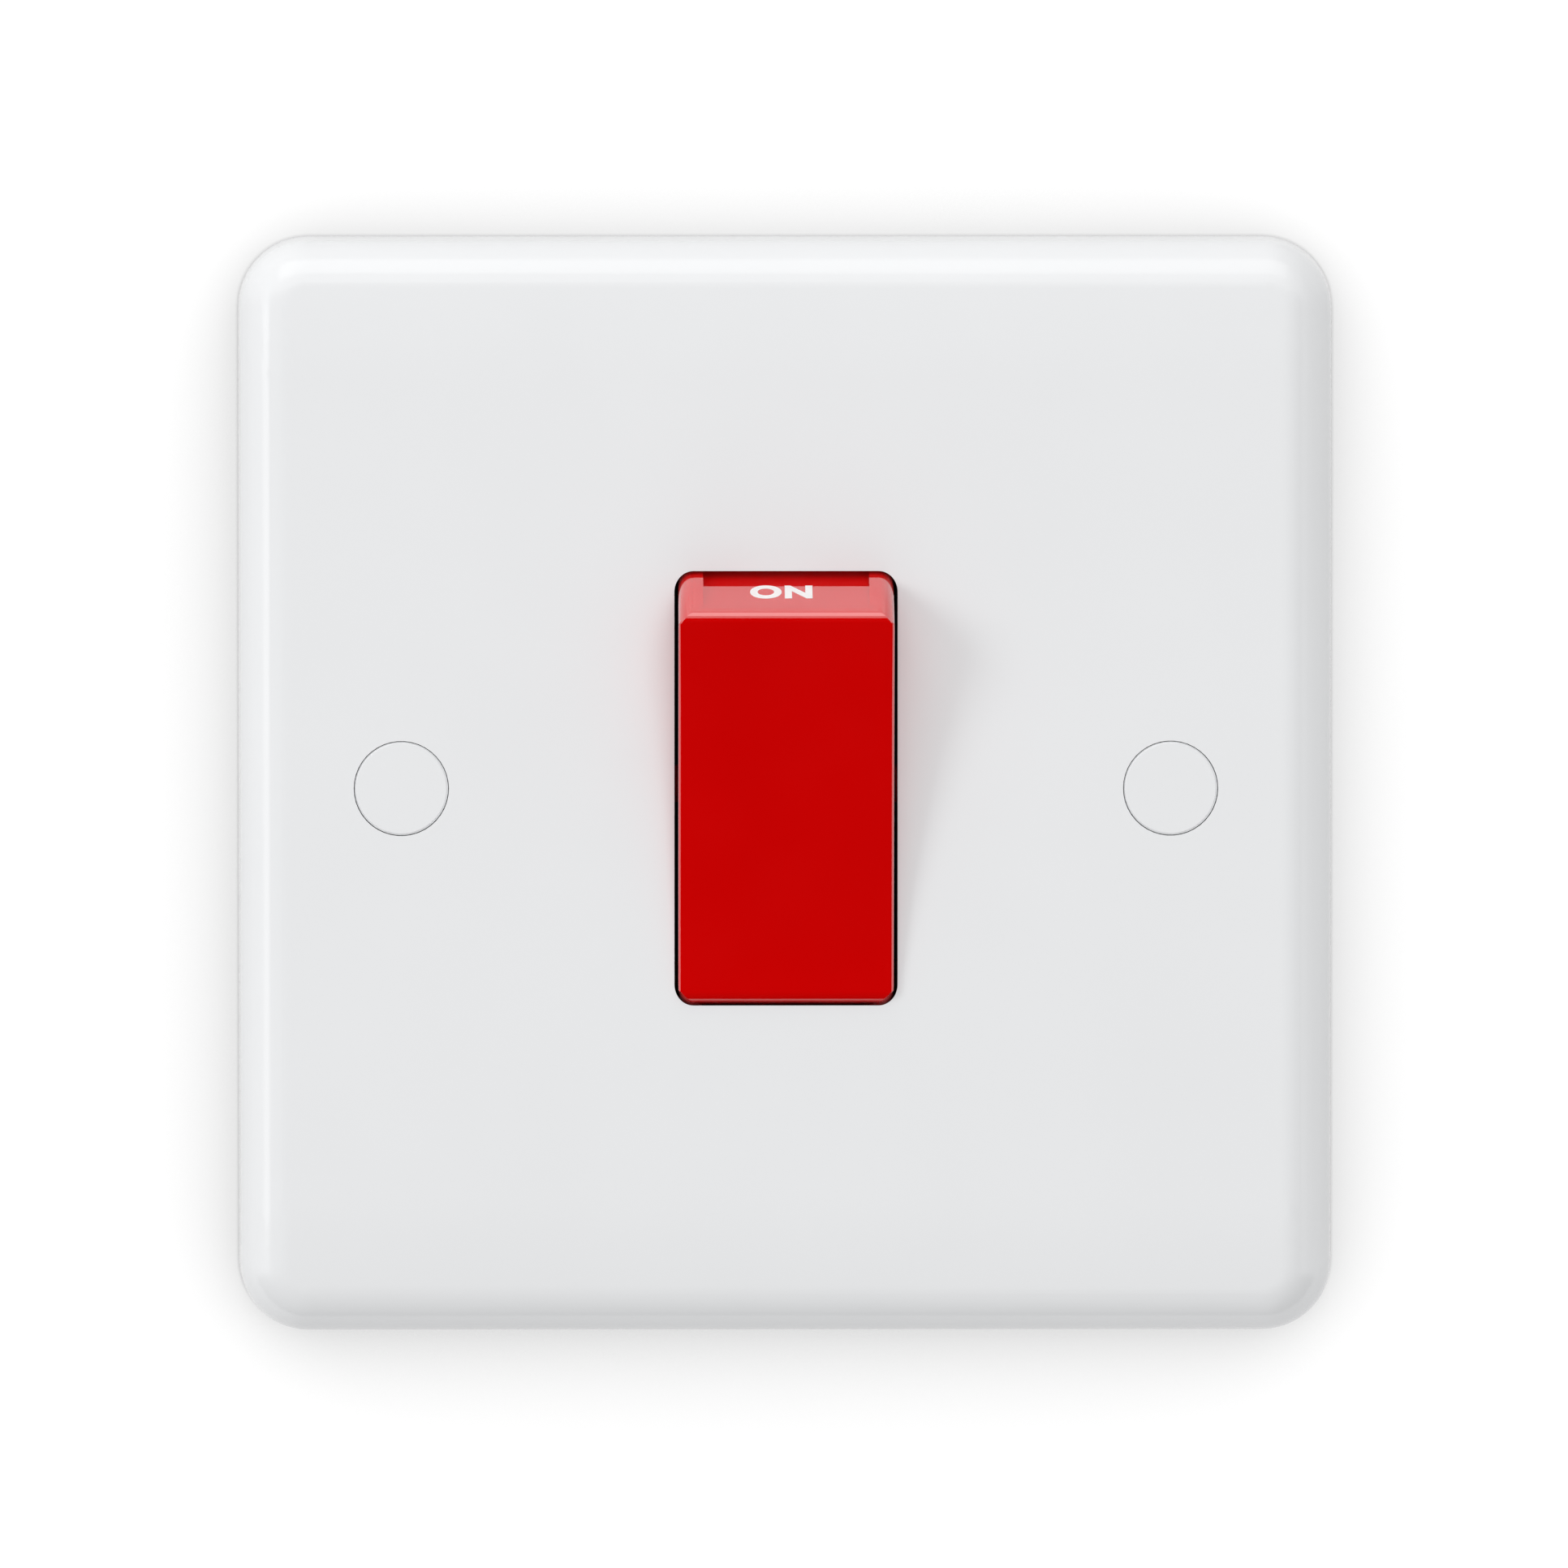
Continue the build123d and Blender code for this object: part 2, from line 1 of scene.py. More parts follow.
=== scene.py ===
import json
import math
import bmesh
import bpy
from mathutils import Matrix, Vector


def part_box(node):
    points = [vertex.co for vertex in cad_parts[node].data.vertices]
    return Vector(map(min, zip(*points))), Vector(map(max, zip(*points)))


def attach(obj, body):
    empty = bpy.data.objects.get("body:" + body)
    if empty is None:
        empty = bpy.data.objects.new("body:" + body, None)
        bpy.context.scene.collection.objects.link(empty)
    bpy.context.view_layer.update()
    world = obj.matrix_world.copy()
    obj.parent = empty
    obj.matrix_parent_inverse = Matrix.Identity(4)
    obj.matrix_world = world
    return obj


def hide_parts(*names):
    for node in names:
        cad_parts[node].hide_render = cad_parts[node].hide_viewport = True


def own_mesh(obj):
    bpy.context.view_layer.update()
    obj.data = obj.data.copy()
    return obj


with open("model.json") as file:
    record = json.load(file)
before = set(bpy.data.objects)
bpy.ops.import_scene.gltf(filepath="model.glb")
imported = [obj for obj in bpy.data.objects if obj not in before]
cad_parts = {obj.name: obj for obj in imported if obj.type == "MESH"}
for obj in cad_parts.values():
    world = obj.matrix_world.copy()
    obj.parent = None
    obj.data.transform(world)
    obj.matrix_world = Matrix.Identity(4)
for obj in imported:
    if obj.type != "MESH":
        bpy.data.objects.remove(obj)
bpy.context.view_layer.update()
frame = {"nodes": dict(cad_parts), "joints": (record.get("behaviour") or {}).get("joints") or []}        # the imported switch, in metres: +X right, +Z up, the room is towards -Y
mm = 0.001
weld = 1e-6              # points nearer than this are one point
scene = bpy.context.scene


# Small tools for meshes

def addPiece(name, mesh):
    piece = bpy.data.objects.new(name, mesh)
    scene.collection.objects.link(piece)
    return piece


def freeze(piece):
    bpy.context.view_layer.update()
    graph = bpy.context.evaluated_depsgraph_get()
    mesh = bpy.data.meshes.new_from_object(piece.evaluated_get(graph), depsgraph=graph)
    piece.modifiers.clear()
    piece.data = mesh
    return piece


def place(piece, body, slot, *nodes):
    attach(piece, body)
    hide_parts(*nodes)
    return piece


def camel(node):
    first, *rest = node.split("_")
    return first + "".join(word.capitalize() for word in rest)


def formOf(mesh, near):
    form = bmesh.new()
    form.from_mesh(mesh)
    bmesh.ops.remove_doubles(form, verts=form.verts, dist=near)
    return form


def settle(form, mesh, material):
    form.to_mesh(mesh)
    form.free()
    mesh.materials.clear()
    mesh.materials.append(material)
    return mesh


def spanOf(verts):
    low = [min(vert.co[i] for vert in verts) for i in range(3)]
    high = [max(vert.co[i] for vert in verts) for i in range(3)]
    return low, high


# A CAD node's form, merged, with its flat stretches whole, its hard edges broken and its curves smooth

dressing = {"flatAngle": 0.2, "smoothAngle": 32, "brokenAngle": 40, "brokenRows": 2}    # angles in degrees


def dress(node, body, slot, material, edge=0.0, shape=None):
    mesh = frame["nodes"][node].data.copy()
    form = formOf(mesh, weld)
    flat = math.radians(dressing["flatAngle"])
    bmesh.ops.dissolve_limit(form, angle_limit=flat, verts=form.verts, edges=form.edges)
    if shape:
        shape(form)
    smooth = math.radians(dressing["smoothAngle"])
    for line in form.edges:
        line.smooth = line.is_manifold and line.calc_face_angle(0) < smooth
    for face in form.faces:
        face.smooth = True
    piece = addPiece(camel(node), settle(form, mesh, material))
    if edge:
        breakEdges(piece, edge)
    weights = piece.modifiers.new("faceWeights", "WEIGHTED_NORMAL")
    weights.keep_sharp = True
    freeze(piece)
    if shape:
        holdNormals(piece.data)
    return place(piece, body, slot, node)


def breakEdges(piece, width):
    bevel = piece.modifiers.new("brokenEdge", "BEVEL")
    bevel.width = width
    bevel.segments = dressing["brokenRows"]
    bevel.limit_method = "ANGLE"
    bevel.angle_limit = math.radians(dressing["brokenAngle"])
    bevel.harden_normals = True


# The long edges of the rocker's face: rows of points on a true round, which keep the round's own normals

edgeLook = {
    "radius": 0.3 * mm, "rows": 6, "slack": 0.01 * mm, "endSlack": 1e-4,
    "dishFacet": 4 * mm**2, "dishFacing": 0.95,     # the least area and forward lean of the dish's facets
}


def arcCentre(first, middle, last):
    one = middle - first
    two = last - first
    turn = 2 * (one.x * two.y - one.y * two.x)
    across = two.y * one.length_squared - one.y * two.length_squared
    along = one.x * two.length_squared - two.x * one.length_squared
    return first + Vector((across, along)) / turn


def roundEdges(form):
    radius = edgeLook["radius"]
    slack = edgeLook["slack"]
    held = form.verts.layers.float_vector.new("heldNormal")
    facets = [face for face in form.faces
              if face.normal.y < -edgeLook["dishFacing"] and face.calc_area() > edgeLook["dishFacet"]]
    if not facets:
        print("no dish found on the rocker: its edges stay as they are")
        return
    corners = {vert for face in facets for vert in face.verts}
    inner = max(vert.co.x for vert in corners)     # where the face ends and its round edge starts
    line = sorted((vert.co.yz for vert in corners), key=lambda point: point.y)
    centre = arcCentre(line[0], line[len(line) // 2], line[-1])     # of the dish, in front of the face
    dishRadius = (line[0] - centre).length
    ends = sorted((centre - point).normalized().y for point in (line[0], line[-1]))

    def inStrip(vert):
        outward = centre - vert.co.yz
        across = abs(vert.co.x) - inner
        deep = outward.length - dishRadius
        inside = ends[0] - edgeLook["endSlack"] < outward.normalized().y < ends[1] + edgeLook["endSlack"]
        return inside and -slack < across < radius + slack and -slack < deep < radius + slack

    def stripFaces():
        return [face for face in form.faces if all(inStrip(vert) for vert in face.verts)]

    for row in range(1, edgeLook["rows"]):
        where = inner + radius * math.sin(row / edgeLook["rows"] * math.pi / 2)
        for side in (-1, 1):
            faces = stripFaces()
            parts = {part for face in faces for part in (*face.verts, *face.edges)}
            bmesh.ops.bisect_plane(form, geom=faces + list(parts), dist=weld,
                                   plane_co=(side * where, 0, 0), plane_no=(side, 0, 0))
    for vert in {vert for face in stripFaces() for vert in face.verts}:
        side = math.copysign(1, vert.co.x)
        outward = centre - vert.co.yz
        rise = radius - (outward.length - dishRadius)
        across = abs(vert.co.x) - inner
        reach = math.hypot(across, rise)
        outward.normalize()
        point = centre - outward * (dishRadius + radius * (1 - rise / reach))
        vert.co = (side * (inner + radius * across / reach), *point)
        vert[held] = (side * across / reach, *(outward * rise / reach))


def holdNormals(mesh):
    held = mesh.attributes["heldNormal"]
    normals = [corner.vector.copy() for corner in mesh.corner_normals]
    for loop in mesh.loops:
        normal = Vector(held.data[loop.vertex_index].vector)
        if normal.length:     # points off the round hold none
            normals[loop.index] = normal
    mesh.attributes.remove(held)
    mesh.normals_split_custom_set(normals)


# Small tools for materials

noiseLow, noiseHigh = 0.3, 0.7     # most of a noise lies between these


def startMaterial(name):
    material = bpy.data.materials.new(name)
    material.use_nodes = True
    tree = material.node_tree
    surface = tree.nodes["Principled BSDF"]
    coords = tree.nodes.new("ShaderNodeTexCoord").outputs["Object"]
    return material, tree, surface, coords


def noiseOn(tree, coords, scale, detail, stretch=(1, 1, 1)):
    mapping = tree.nodes.new("ShaderNodeMapping")
    mapping.inputs["Scale"].default_value = stretch
    noise = tree.nodes.new("ShaderNodeTexNoise")
    noise.inputs["Scale"].default_value = scale
    noise.inputs["Detail"].default_value = detail
    tree.links.new(coords, mapping.inputs["Vector"])
    tree.links.new(mapping.outputs["Vector"], noise.inputs["Vector"])
    return noise.outputs["Fac"]


def colourRamp(tree, factor, low, high):
    ramp = tree.nodes.new("ShaderNodeValToRGB")
    for element, (where, colour) in zip(ramp.color_ramp.elements, (low, high)):
        element.position = where
        element.color = (*colour, 1)
    tree.links.new(factor, ramp.inputs["Fac"])
    return ramp.outputs["Color"]


def spread(tree, factor, low, high):
    remap = tree.nodes.new("ShaderNodeMapRange")
    remap.inputs["From Min"].default_value = noiseLow
    remap.inputs["From Max"].default_value = noiseHigh
    remap.inputs["To Min"].default_value = low
    remap.inputs["To Max"].default_value = high
    tree.links.new(factor, remap.inputs["Value"])
    return remap.outputs["Result"]


def bumpFrom(tree, height, depth, under=None):
    bump = tree.nodes.new("ShaderNodeBump")
    bump.inputs["Distance"].default_value = depth
    tree.links.new(height, bump.inputs["Height"])
    if under:
        tree.links.new(under, bump.inputs["Normal"])
    return bump.outputs["Normal"]


def shade(colour, factor):
    return tuple(min(1.0, part * factor) for part in colour)


def grey(level):
    return (level, level, level, 1)


# Moulded plastic: an even colour with a slow drift, a faint orange peel and a fine grain

plasticSockets = {
    "IOR": "ior", "Specular IOR Level": "gloss",
    "Coat Weight": "coat", "Coat Roughness": "coatRoughness", "Coat IOR": "coatIor",
}


def mouldedPlastic(name, look):
    material, tree, surface, coords = startMaterial(name)
    cloud = noiseOn(tree, coords, look["cloudScale"], detail=2)
    darker = (noiseLow, shade(look["colour"], 1 - look["cloud"]))
    lighter = (noiseHigh, shade(look["colour"], 1 + look["cloud"]))
    tree.links.new(colourRamp(tree, cloud, darker, lighter), surface.inputs["Base Color"])
    patch = noiseOn(tree, coords, look["patchScale"], detail=2)
    tree.links.new(spread(tree, patch, *look["roughness"]), surface.inputs["Roughness"])
    peel = bumpFrom(tree, noiseOn(tree, coords, look["peelScale"], detail=1), look["peelDepth"])
    grain = noiseOn(tree, coords, look["grainScale"], detail=1)
    tree.links.new(bumpFrom(tree, grain, look["grainDepth"], peel), surface.inputs["Normal"])
    for socket, key in plasticSockets.items():
        surface.inputs[socket].default_value = look[key]
    return material


whiteUrea = mouldedPlastic("whiteUrea", {
    "colour": (0.835, 0.843, 0.853), "cloud": 0.006, "cloudScale": 60,
    "roughness": (0.15, 0.19), "patchScale": 140,
    "peelScale": 260, "peelDepth": 1.2e-6, "grainScale": 5200, "grainDepth": 0.25e-6,
    "ior": 1.5, "gloss": 0.5, "coat": 0.0, "coatRoughness": 0.05, "coatIor": 1.5,
})
redPlastic = mouldedPlastic("redPlastic", {
    "colour": (0.67, 0.0, 0.0), "cloud": 0.02, "cloudScale": 90,
    "roughness": (0.05, 0.08), "patchScale": 160,
    "peelScale": 300, "peelDepth": 1.0e-6, "grainScale": 5200, "grainDepth": 0.2e-6,
    "ior": 1.5, "gloss": 0.8, "coat": 1.0, "coatRoughness": 0.04, "coatIor": 1.7,
})
redMatt = mouldedPlastic("redMatt", {
    "colour": (0.6, 0.0, 0.0), "cloud": 0.02, "cloudScale": 90,
    "roughness": (0.55, 0.65), "patchScale": 400,
    "peelScale": 900, "peelDepth": 1.0e-6, "grainScale": 9000, "grainDepth": 1.0e-6,
    "ior": 1.5, "gloss": 0.3, "coat": 0.0, "coatRoughness": 0.1, "coatIor": 1.5,
})
whiteNylon = mouldedPlastic("whiteNylon", {
    "colour": (0.74, 0.73, 0.68), "cloud": 0.03, "cloudScale": 500,
    "roughness": (0.34, 0.44), "patchScale": 700,
    "peelScale": 900, "peelDepth": 2e-6, "grainScale": 9000, "grainDepth": 0.6e-6,
    "ior": 1.53, "gloss": 0.5, "coat": 0.0, "coatRoughness": 0.1, "coatIor": 1.5,
})
padPrint = mouldedPlastic("padPrint", {
    "colour": (0.90, 0.88, 0.87), "cloud": 0.02, "cloudScale": 2500,
    "roughness": (0.4, 0.5), "patchScale": 3000,
    "peelScale": 4000, "peelDepth": 0.4e-6, "grainScale": 20000, "grainDepth": 0.3e-6,
    "ior": 1.48, "gloss": 0.4, "coat": 0.0, "coatRoughness": 0.1, "coatIor": 1.5,
})


# Phenolic moulding: charcoal with pale filler specks and a dull, slightly rough skin

def speckledPhenolic(name, look):
    material, tree, surface, coords = startMaterial(name)
    flow = noiseOn(tree, coords, look["flowScale"], detail=5, stretch=look["flowStretch"])
    darker, lighter = [shade(look["colour"], factor) for factor in look["flow"]]
    base = colourRamp(tree, flow, (noiseLow, darker), (noiseHigh, lighter))
    speck = noiseOn(tree, coords, look["speckScale"], detail=2)
    outside, inside = look["speckEdge"]
    mask = colourRamp(tree, speck, (outside, (0, 0, 0)), (inside, (1, 1, 1)))
    mix = tree.nodes.new("ShaderNodeMix")
    mix.data_type = "RGBA"
    tree.links.new(mask, mix.inputs["Factor"])
    tree.links.new(base, mix.inputs["A"])
    mix.inputs["B"].default_value = (*look["speck"], 1)
    tree.links.new(mix.outputs["Result"], surface.inputs["Base Color"])
    tree.links.new(spread(tree, flow, *look["roughness"]), surface.inputs["Roughness"])
    skin = bumpFrom(tree, noiseOn(tree, coords, look["skinScale"], detail=4), look["skinDepth"])
    tree.links.new(skin, surface.inputs["Normal"])
    surface.inputs["IOR"].default_value = look["ior"]
    return material


darkPhenolic = speckledPhenolic("darkPhenolic", {
    "colour": (0.030, 0.030, 0.032), "flow": (0.8, 1.25), "flowScale": 160, "flowStretch": (1, 1, 0.35),
    "speck": (0.075, 0.07, 0.065), "speckScale": 2600, "speckEdge": (0.66, 0.74),
    "roughness": (0.36, 0.5), "skinScale": 2400, "skinDepth": 5e-6, "ior": 1.6,
})


# Cut or plated metal: streaks along the tool's path, patches of dullness and a fine scratch

brightFrom = 0.65     # of the patch noise


def workedMetal(name, look):
    material, tree, surface, coords = startMaterial(name)
    surface.inputs["Metallic"].default_value = 1.0
    patch = noiseOn(tree, coords, look["patchScale"], detail=4)
    metal = colourRamp(tree, patch, (noiseLow, look["dull"]), (brightFrom, look["colour"]))
    tree.links.new(metal, surface.inputs["Base Color"])
    streak = noiseOn(tree, coords, look["streakScale"], detail=4, stretch=look["stretch"])
    tree.links.new(spread(tree, streak, *look["roughness"]), surface.inputs["Roughness"])
    tree.links.new(bumpFrom(tree, streak, look["streakDepth"]), surface.inputs["Normal"])
    return material


turnedBrass = workedMetal("turnedBrass", {
    "colour": (0.83, 0.60, 0.26), "dull": (0.66, 0.45, 0.19), "patchScale": 300,
    "streakScale": 900, "stretch": (1, 1, 0.06), "roughness": (0.2, 0.36), "streakDepth": 3e-6,
})
rolledCopper = workedMetal("rolledCopper", {
    "colour": (0.86, 0.48, 0.33), "dull": (0.66, 0.33, 0.22), "patchScale": 350,
    "streakScale": 1100, "stretch": (1, 1, 0.05), "roughness": (0.2, 0.34), "streakDepth": 2e-6,
})
contactSilver = workedMetal("contactSilver", {
    "colour": (0.90, 0.89, 0.86), "dull": (0.72, 0.70, 0.65), "patchScale": 700,
    "streakScale": 2200, "stretch": (1, 1, 1), "roughness": (0.22, 0.38), "streakDepth": 1.5e-6,
})
zincSteel = workedMetal("zincSteel", {
    "colour": (0.68, 0.69, 0.71), "dull": (0.52, 0.53, 0.54), "patchScale": 900,
    "streakScale": 2600, "stretch": (1, 0.3, 1), "roughness": (0.22, 0.36), "streakDepth": 1.5e-6,
})
springSteel = workedMetal("springSteel", {
    "colour": (0.60, 0.59, 0.57), "dull": (0.44, 0.43, 0.42), "patchScale": 1200,
    "streakScale": 3000, "stretch": (1, 0.2, 1), "roughness": (0.2, 0.3), "streakDepth": 1e-6,
})
print("materials made")

# The moulded and stamped pieces, from the frame

brokenEdge = {"housing": 0.15 * mm, "plunger": 0.08 * mm, "contact": 0.06 * mm, "terminal": 0.1 * mm}
trunnionLook = {"start": 8.46 * mm}     # the trunnions are left as they come from the mould, unpolished

dress("front_plate", "base", "white_plastic", whiteUrea)
dress("left_screw_cap", "base", "white_plastic", whiteUrea)
dress("right_screw_cap", "base", "white_plastic", whiteUrea)
rocker = dress("rocker", "rocker", "red_plastic", redPlastic, shape=roundEdges)
rocker.data.materials.append(redMatt)
for face in rocker.data.polygons:
    face.material_index = int(abs(face.center.x) > trunnionLook["start"])
dress("rear_housing", "base", "dark_phenolic", darkPhenolic, brokenEdge["housing"])
for side in ("left", "right"):
    dress(f"{side}_plunger", f"{side}_plunger", "nylon", whiteNylon, brokenEdge["plunger"])
    dress(f"{side}_contact_arm", f"{side}_arm", "copper", rolledCopper, brokenEdge["contact"])
    dress(f"{side}_moving_tip", f"{side}_arm", "silver", contactSilver, brokenEdge["contact"])
    dress(f"{side}_fixed_tip", "base", "silver", contactSilver, brokenEdge["contact"])
    for kind in ("load", "supply"):
        dress(f"{side}_{kind}_terminal", "base", "brass", turnedBrass, brokenEdge["terminal"])
print("moulded and stamped pieces dressed")

# The word on the rocker's top end, printed on its flat

lettering = {
    "word": "ON", "height": 2.12 * mm, "width": 4.88 * mm, "middle": -0.39 * mm, "setback": 1.42 * mm,
    "bold": 0.048, "spacing": 1.12, "thickness": 0.03 * mm, "curveSteps": 16, "weld": 1e-4,
}
flatSearch = {     # how the flat's normal leans
    "leastUp": 0.85, "mostUp": 0.96, "leastForward": 0.2, "mostAcross": 0.01, "digits": 4,
}


def facesLikeFlat(face):
    across, forward, up = face.normal.x, -face.normal.y, face.normal.z
    leaning = flatSearch["leastUp"] < up < flatSearch["mostUp"] and forward > flatSearch["leastForward"]
    return face.center.z > 0 and leaning and abs(across) < flatSearch["mostAcross"]


def findFlat(node):
    mesh = frame["nodes"][node].data
    groups = {}
    for face in filter(facesLikeFlat, mesh.polygons):
        groups.setdefault(round(face.normal.z, flatSearch["digits"]), []).append(face)
    faces = max(groups.values(), key=lambda group: sum(face.area for face in group))
    points = [mesh.vertices[i].co for face in faces for i in face.vertices]
    return min(points, key=lambda point: point.y).copy(), faces[0].normal.copy()


def typeWord(look):
    curve = bpy.data.curves.new("lettering", "FONT")
    curve.body = look["word"]
    curve.offset = look["bold"]
    curve.space_character = look["spacing"]
    curve.extrude = 0.5     # any depth: the word is scaled to its size where it is printed
    curve.resolution_u = look["curveSteps"]
    source = addPiece("letteringSource", curve)
    bpy.context.view_layer.update()
    mesh = bpy.data.meshes.new_from_object(source)
    bpy.data.objects.remove(source)
    return mesh


def printLettering(look):
    front, normal = findFlat("rocker")
    upward = Vector((1, 0, 0)).cross(-normal).normalized()
    if upward.y < 0:
        upward = -upward
    mesh = typeWord(look)
    form = formOf(mesh, look["weld"])
    low, high = spanOf(form.verts)
    foot = Vector((look["middle"], front.y, front.z)) + upward * look["setback"]
    for vert in form.verts:
        across, up, out = [(vert.co[i] - low[i]) / (high[i] - low[i]) for i in range(3)]
        vert.co = foot + Vector(((across - 0.5) * look["width"], 0, 0)) + upward * up * look["height"]
        vert.co += normal * (out - 0.5) * 2 * look["thickness"]
    bmesh.ops.recalc_face_normals(form, faces=form.faces)
    piece = addPiece("rockerLettering", settle(form, mesh, padPrint))
    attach(piece, "rocker")


printLettering(lettering)
print("lettering made")


# Small tools for node trees

hardAngle = 28     # degrees, past which an edge isn't shaded smooth


def newTree(name, inputs):
    tree = bpy.data.node_groups.new(name, "GeometryNodeTree")
    tree.interface.new_socket("Geometry", in_out="INPUT", socket_type="NodeSocketGeometry")
    for label, kind in inputs.items():
        tree.interface.new_socket(label, in_out="INPUT", socket_type="NodeSocket" + kind)
    tree.interface.new_socket("Geometry", in_out="OUTPUT", socket_type="NodeSocketGeometry")
    return tree, tree.nodes.new("NodeGroupInput").outputs


def addNode(tree, kind, values=None, **settings):
    made = tree.nodes.new(kind)
    for key, value in settings.items():
        setattr(made, key, value)
    for key, value in (values or {}).items():
        feed(tree, made.inputs[key], value)
    return made


def feed(tree, socket, value):
    if isinstance(value, bpy.types.NodeSocket):
        tree.links.new(value, socket)
    else:
        socket.default_value = value


def maths(tree, operation, *values):
    return addNode(tree, "ShaderNodeMath", dict(enumerate(values)), operation=operation).outputs[0]


def endTree(tree, geometry, material):
    realized = addNode(tree, "GeometryNodeRealizeInstances", {"Geometry": geometry})
    smooth = addNode(tree, "GeometryNodeSetShadeSmooth", {
        "Geometry": realized.outputs[0], "Shade Smooth": True})
    angle = addNode(tree, "GeometryNodeInputMeshEdgeAngle").outputs["Unsigned Angle"]
    hard = maths(tree, "GREATER_THAN", angle, math.radians(hardAngle))
    edges = addNode(tree, "GeometryNodeSetShadeSmooth", {
        "Geometry": smooth.outputs[0], "Selection": hard, "Shade Smooth": False}, domain="EDGE")
    painted = addNode(tree, "GeometryNodeSetMaterial", {"Geometry": edges.outputs[0], "Material": material})
    tree.links.new(painted.outputs[0], tree.nodes.new("NodeGroupOutput").inputs["Geometry"])


def runTree(name, points, tree, values):
    mesh = bpy.data.meshes.new(name)
    mesh.from_pydata(points, [], [])
    piece = addPiece(name, mesh)
    modifier = piece.modifiers.new(name, "NODES")
    modifier.node_group = tree
    for socket in tree.interface.items_tree:
        if socket.in_out == "INPUT" and socket.name in values:
            modifier[socket.identifier] = values[socket.name]
    return freeze(piece)


# A turned form: a sheet of points rolled round the axis, with its radius and height along the sheet

endShare = 0.001     # of the sheet's length, within which it is drawn in to the axis


def turned(tree, rows, around, outline, upward):
    sheet = addNode(tree, "GeometryNodeMeshGrid", {
        "Size X": 1.0, "Size Y": 1.0, "Vertices X": rows, "Vertices Y": around})
    position = addNode(tree, "GeometryNodeInputPosition").outputs[0]
    spot = addNode(tree, "ShaderNodeSeparateXYZ", {0: position})
    along = maths(tree, "ADD", spot.outputs["X"], 0.5)     # the sheet runs from -0.5 to 0.5 each way
    turn = maths(tree, "ADD", spot.outputs["Y"], 0.5)
    radius, height = outline(along, turn)
    begun = maths(tree, "GREATER_THAN", along, endShare)
    unfinished = maths(tree, "LESS_THAN", along, 1 - endShare)
    between = maths(tree, "MULTIPLY", begun, unfinished)
    radius = maths(tree, "MULTIPLY", radius, between)     # closed at both ends
    angle = maths(tree, "MULTIPLY", turn, 2 * math.pi)
    spun = addNode(tree, "ShaderNodeCombineXYZ", {
        "X": maths(tree, "MULTIPLY", radius, maths(tree, "COSINE", angle)),
        "Y": maths(tree, "MULTIPLY", radius, maths(tree, "SINE", angle)),
        "Z": height,
    })
    rolled = addNode(tree, "GeometryNodeSetPosition", {
        "Geometry": sheet.outputs[0], "Position": spun.outputs[0]})
    closed = addNode(tree, "GeometryNodeMergeByDistance", {
        "Geometry": rolled.outputs[0], "Distance": 2 * weld})
    if not upward:
        return closed.outputs[0]
    flipped = addNode(tree, "GeometryNodeFlipFaces", {"Mesh": closed.outputs[0]})     # faces outwards
    return flipped.outputs[0]


def outlineCurve(tree, along, points):
    curve = addNode(tree, "ShaderNodeFloatCurve", {"Value": along})
    line = curve.mapping.curves[0]
    while len(line.points) < len(points):
        line.points.new(0.5, 0.5)     # anywhere: each is placed below
    for point, spot in zip(line.points, sorted(points)):
        point.location = spot
        point.handle_type = "VECTOR"
    curve.mapping.update()
    return curve.outputs[0]


# A screw: a turned head with a driver's slots, and a shank with a rolled thread

screwMesh = {"headRows": 21, "headAround": 49, "shankRows": 73, "shankAround": 29}


